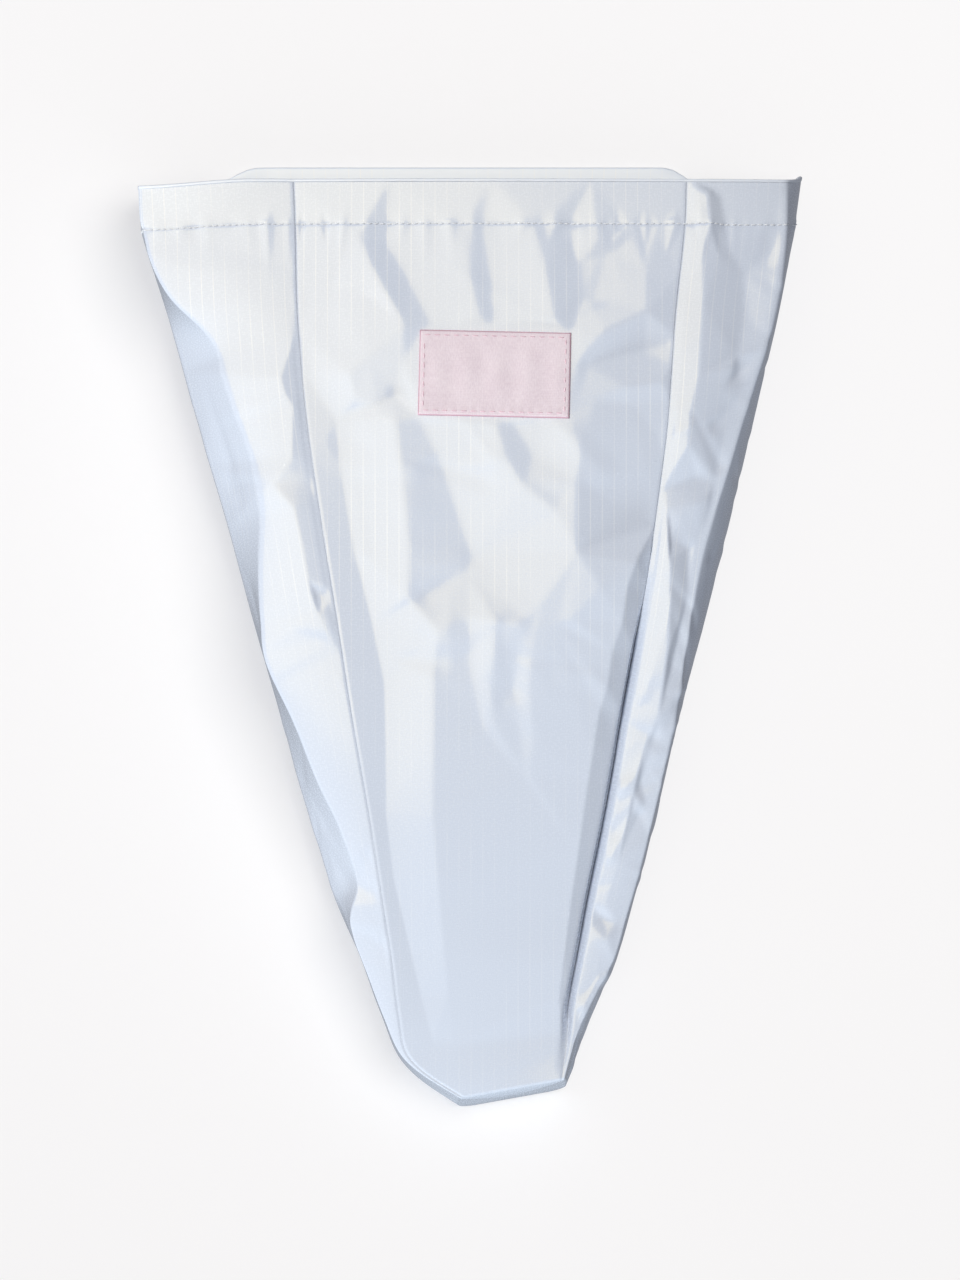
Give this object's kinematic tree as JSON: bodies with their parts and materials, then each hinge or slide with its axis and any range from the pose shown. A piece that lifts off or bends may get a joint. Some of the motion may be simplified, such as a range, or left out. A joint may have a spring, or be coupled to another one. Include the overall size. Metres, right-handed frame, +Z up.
{
  "type": "bicycle saddle bag",
  "caption": "Tapered ripstop saddle bag sack lying on its back, with a wide hemmed open mouth, side panels, a small base and a blank sewn label.",
  "frame": {"origin": "on the ground, under the middle of the bag's box", "axes": "+Y towards the open mouth, +Z up out of the front panel, the bag lying on its back panel"},
  "size_m": [0.333, 0.4782, 0.08],
  "materials": {
    "ripstop": "white coated ripstop cloth, slightly blue and glossy, a little see-through",
    "hem": "the same ripstop cloth turned in double, whiter than one layer",
    "label": "pale pink woven label with a stitched edge, left blank"
  },
  "bodies": {
    "root": {"front_panel": "ripstop", "left_panel": "ripstop", "right_panel": "ripstop", "back_panel": "ripstop", "base_panel": "ripstop", "mouth_hem": "hem", "label": "label"}
  },
  "joints": []
}
